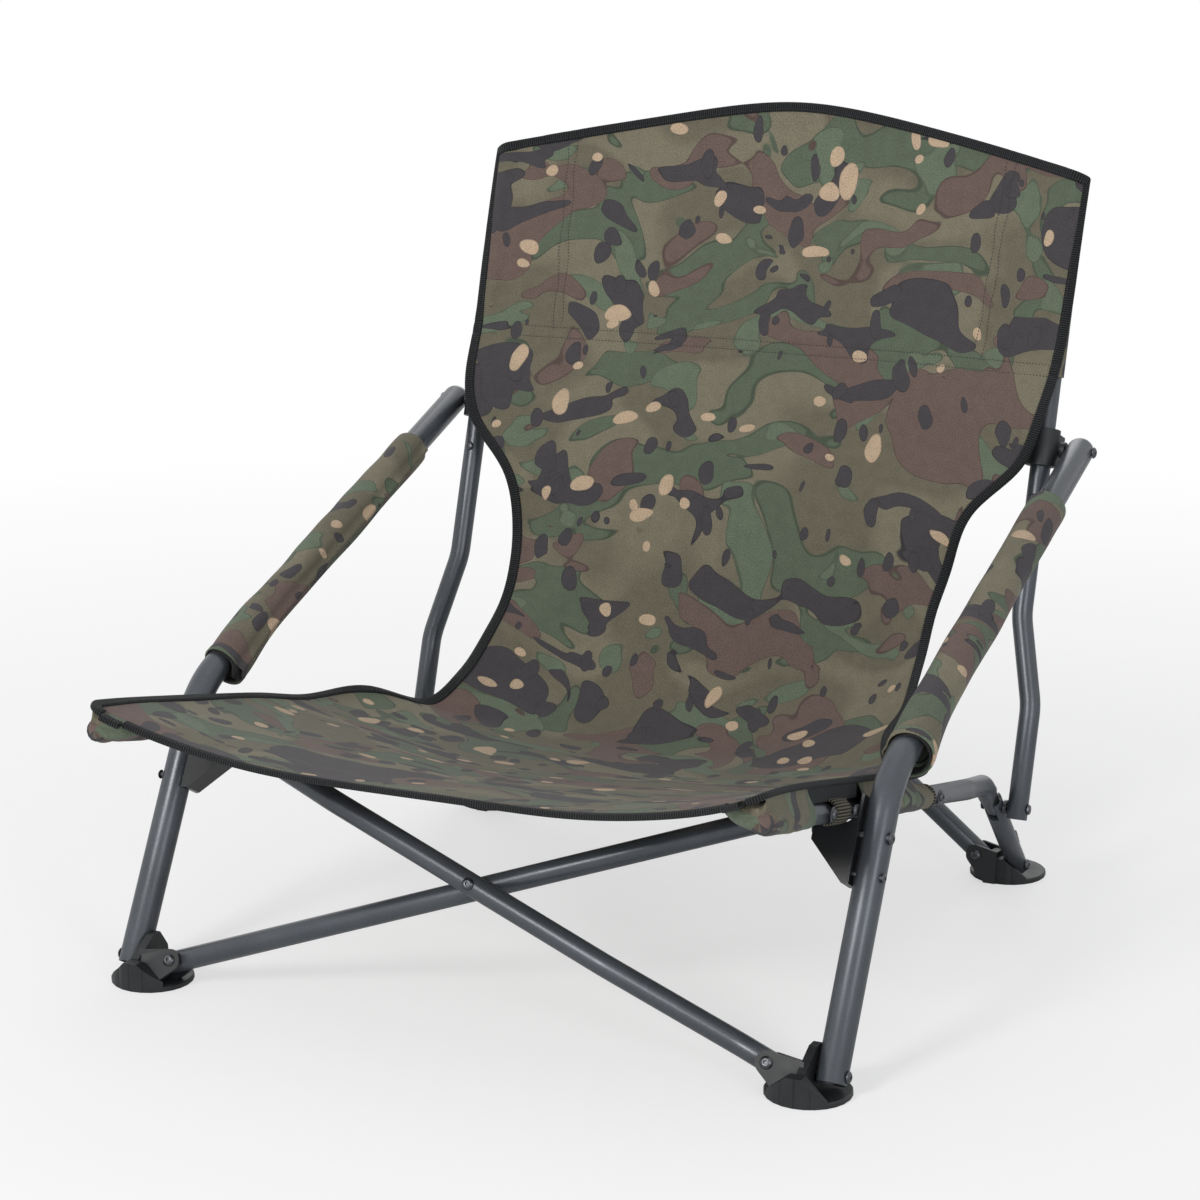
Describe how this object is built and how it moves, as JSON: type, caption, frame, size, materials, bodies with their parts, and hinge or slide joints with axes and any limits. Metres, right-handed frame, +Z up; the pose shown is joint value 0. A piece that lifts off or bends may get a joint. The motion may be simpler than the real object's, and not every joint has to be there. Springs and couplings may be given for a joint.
{
  "type": "folding carp fishing chair",
  "caption": "Low folding fishing chair with crossed tube struts, a camouflage sling seat and back, padded arms and broad mud feet.",
  "frame": {"origin": "on the ground, in the middle of the chair's width and depth", "axes": "+Z up, +X to the right seen from the front, +Y from the front of the seat to the back"},
  "size_m": [0.6676, 0.7913, 0.6893],
  "materials": {
    "frame_paint": "dark gunmetal powder coat, fine satin texture",
    "moulding": "black moulded nylon, matt",
    "fastener": "black zinc plated steel, half gloss",
    "sling_fabric": "woven polyester in a woodland camouflage of olive, green, brown, charcoal and tan",
    "pad_fabric": "padded woven polyester in the same camouflage"
  },
  "bodies": {
    "front_foot_left": {"front_foot_left": "moulding", "leg_foot_pin_left": "fastener", "front_clevis_pin_left": "fastener"},
    "front_cross_straight": {"front_cross_straight": "frame_paint", "front_crossing_rivet": "fastener"},
    "front_cross_bowed": {"front_cross_bowed": "frame_paint"},
    "front_foot_right": {"front_foot_right": "moulding", "leg_foot_pin_right": "fastener", "front_clevis_pin_right": "fastener"},
    "leg_left": {"arm_leg_left": "frame_paint", "arm_sleeve_left": "pad_fabric", "leg_cradle_left": "frame_paint", "cradle_pin_left": "fastener", "cradle_rivet_left": "fastener", "arm_top_bolt_left": "fastener"},
    "hub_left": {"rail_hub_left": "moulding", "hub_cross_pin_left": "fastener", "hub_rail_pin_left": "fastener"},
    "rail_left": {"seat_rail_left": "frame_paint", "rail_plug_left": "moulding", "rear_pivot_pin_left": "fastener", "seat_sling": "sling_fabric"},
    "upright_left": {"upright_left": "frame_paint", "upright_cap_left": "moulding", "upright_stop_bolt_left": "fastener", "back_sling": "sling_fabric"},
    "collar_left": {"collar_left": "moulding"},
    "rear_leg_left": {"rear_leg_left": "frame_paint"},
    "rear_foot_left": {"rear_foot_left": "moulding", "rear_foot_pin_left": "fastener", "rear_clevis_pin_left": "fastener"},
    "leg_right": {"arm_leg_right": "frame_paint", "arm_sleeve_right": "pad_fabric", "leg_cradle_right": "frame_paint", "cradle_pin_right": "fastener", "cradle_rivet_right": "fastener", "arm_top_bolt_right": "fastener"},
    "hub_right": {"rail_hub_right": "moulding", "hub_cross_pin_right": "fastener", "hub_rail_pin_right": "fastener"},
    "rail_right": {"seat_rail_right": "frame_paint", "rail_plug_right": "moulding", "rear_pivot_pin_right": "fastener"},
    "upright_right": {"upright_right": "frame_paint", "upright_cap_right": "moulding", "upright_stop_bolt_right": "fastener"},
    "collar_right": {"collar_right": "moulding"},
    "rear_leg_right": {"rear_leg_right": "frame_paint"},
    "rear_foot_right": {"rear_foot_right": "moulding", "rear_foot_pin_right": "fastener", "rear_clevis_pin_right": "fastener"},
    "rear_cross_straight": {"rear_cross_straight": "frame_paint", "rear_cross_rivet_left": "fastener", "rear_crossing_screw": "fastener"},
    "rear_cross_bowed": {"rear_cross_bowed": "frame_paint", "rear_cross_rivet_right": "fastener", "rear_crossing_post": "fastener"}
  },
  "joints": [
    {"name": "fold", "type": "hinge", "parent": "front_foot_left", "child": "front_cross_straight", "pos_m": [-0.27, -0.3145, 0.022], "axis": [0, -0.9205, 0.3907], "range_deg": [0, 59.69], "deforming": ["seat_sling", "back_sling"]},
    {"name": "front_crossing", "type": "hinge", "parent": "front_cross_straight", "child": "front_cross_bowed", "pos_m": [0, -0.27545, 0.114], "axis": [0, -0.9205, 0.3907], "range_deg": [-119.37, 0]},
    {"name": "front_foot_right_clevis", "type": "hinge", "parent": "front_cross_bowed", "child": "front_foot_right", "pos_m": [0.27, -0.3145, 0.022], "axis": [0, -0.9205, 0.3907], "range_deg": [0, 59.69]},
    {"name": "leg_left_hinge", "type": "hinge", "parent": "front_foot_left", "child": "leg_left", "pos_m": [-0.317, -0.3062, 0.0176], "axis": [1, 0, 0], "range_deg": [0, 19.45]},
    {"name": "hub_left_hinge", "type": "hinge", "parent": "front_cross_bowed", "child": "hub_left", "pos_m": [-0.27, -0.23639, 0.20601], "axis": [0, -0.9205, 0.3907], "range_deg": [0, 59.69]},
    {"name": "rail_left_hinge", "type": "hinge", "parent": "hub_left", "child": "rail_left", "pos_m": [-0.29, -0.218, 0.203], "axis": [1, 0, 0], "range_deg": [-94.63, 0]},
    {"name": "upright_left_hinge", "type": "hinge", "parent": "rail_left", "child": "upright_left", "pos_m": [-0.3035, 0.1825, 0.0924], "axis": [1, 0, 0], "range_deg": [0, 74.09]},
    {"name": "collar_left_slide", "type": "slide", "parent": "upright_left", "child": "collar_left", "axis": [0, 0.3012, 0.9536], "range_m": [0, 0.22243]},
    {"name": "rear_leg_left_hinge", "type": "hinge", "parent": "rail_left", "child": "rear_leg_left", "pos_m": [-0.281, 0.1825, 0.0924], "axis": [1, 0, 0], "range_deg": [0, 55.79]},
    {"name": "rear_foot_left_hinge", "type": "hinge", "parent": "rear_leg_left", "child": "rear_foot_left", "pos_m": [-0.281, 0.2555, 0.016], "axis": [1, 0, 0], "range_deg": [0, 12.04]},
    {"name": "rear_cross_bowed_hinge", "type": "hinge", "parent": "rear_foot_left", "child": "rear_cross_bowed", "pos_m": [-0.248, 0.2475, 0.024], "axis": [0, -0.9939, 0.1102], "range_deg": [0, 47.52]},
    {"name": "leg_right_hinge", "type": "hinge", "parent": "front_foot_right", "child": "leg_right", "pos_m": [0.317, -0.3062, 0.0176], "axis": [1, 0, 0], "range_deg": [0, 19.45]},
    {"name": "hub_right_hinge", "type": "hinge", "parent": "front_cross_straight", "child": "hub_right", "pos_m": [0.27, -0.23639, 0.20601], "axis": [0, -0.9205, 0.3907], "range_deg": [-59.69, 0]},
    {"name": "rail_right_hinge", "type": "hinge", "parent": "hub_right", "child": "rail_right", "pos_m": [0.29, -0.218, 0.203], "axis": [1, 0, 0], "range_deg": [-94.63, 0]},
    {"name": "upright_right_hinge", "type": "hinge", "parent": "rail_right", "child": "upright_right", "pos_m": [0.3035, 0.1825, 0.0924], "axis": [1, 0, 0], "range_deg": [0, 74.09]},
    {"name": "collar_right_slide", "type": "slide", "parent": "upright_right", "child": "collar_right", "axis": [0, 0.3012, 0.9536], "range_m": [0, 0.22243]},
    {"name": "rear_leg_right_hinge", "type": "hinge", "parent": "rail_right", "child": "rear_leg_right", "pos_m": [0.281, 0.1825, 0.0924], "axis": [1, 0, 0], "range_deg": [0, 55.79]},
    {"name": "rear_foot_right_hinge", "type": "hinge", "parent": "rear_leg_right", "child": "rear_foot_right", "pos_m": [0.281, 0.2555, 0.016], "axis": [1, 0, 0], "range_deg": [0, 12.04]},
    {"name": "rear_cross_straight_hinge", "type": "hinge", "parent": "rear_foot_right", "child": "rear_cross_straight", "pos_m": [0.248, 0.2475, 0.024], "axis": [0, 0.9939, -0.1102], "range_deg": [0, 47.52]}
  ],
  "couplings": [
    {"joint": "front_crossing", "follows": "fold", "ratio": -2},
    {"joint": "front_foot_right_clevis", "follows": "fold", "ratio": 1},
    {"joint": "leg_left_hinge", "follows": "fold", "ratio": 0.32587},
    {"joint": "hub_left_hinge", "follows": "fold", "ratio": 1},
    {"joint": "rail_left_hinge", "follows": "fold", "ratio": -1.5855},
    {"joint": "upright_left_hinge", "follows": "fold", "ratio": 1.2413},
    {"joint": "collar_left_slide", "follows": "fold", "m_per_rad": 0.21352},
    {"joint": "rear_leg_left_hinge", "follows": "fold", "ratio": 0.93469},
    {"joint": "rear_foot_left_hinge", "follows": "fold", "ratio": 0.20169},
    {"joint": "rear_cross_bowed_hinge", "follows": "fold", "ratio": 0.79612},
    {"joint": "leg_right_hinge", "follows": "fold", "ratio": 0.32587},
    {"joint": "hub_right_hinge", "follows": "fold", "ratio": -1},
    {"joint": "rail_right_hinge", "follows": "fold", "ratio": -1.5855},
    {"joint": "upright_right_hinge", "follows": "fold", "ratio": 1.2413},
    {"joint": "collar_right_slide", "follows": "fold", "m_per_rad": 0.21352},
    {"joint": "rear_leg_right_hinge", "follows": "fold", "ratio": 0.93469},
    {"joint": "rear_foot_right_hinge", "follows": "fold", "ratio": 0.20169},
    {"joint": "rear_cross_straight_hinge", "follows": "fold", "ratio": 0.79612}
  ]
}
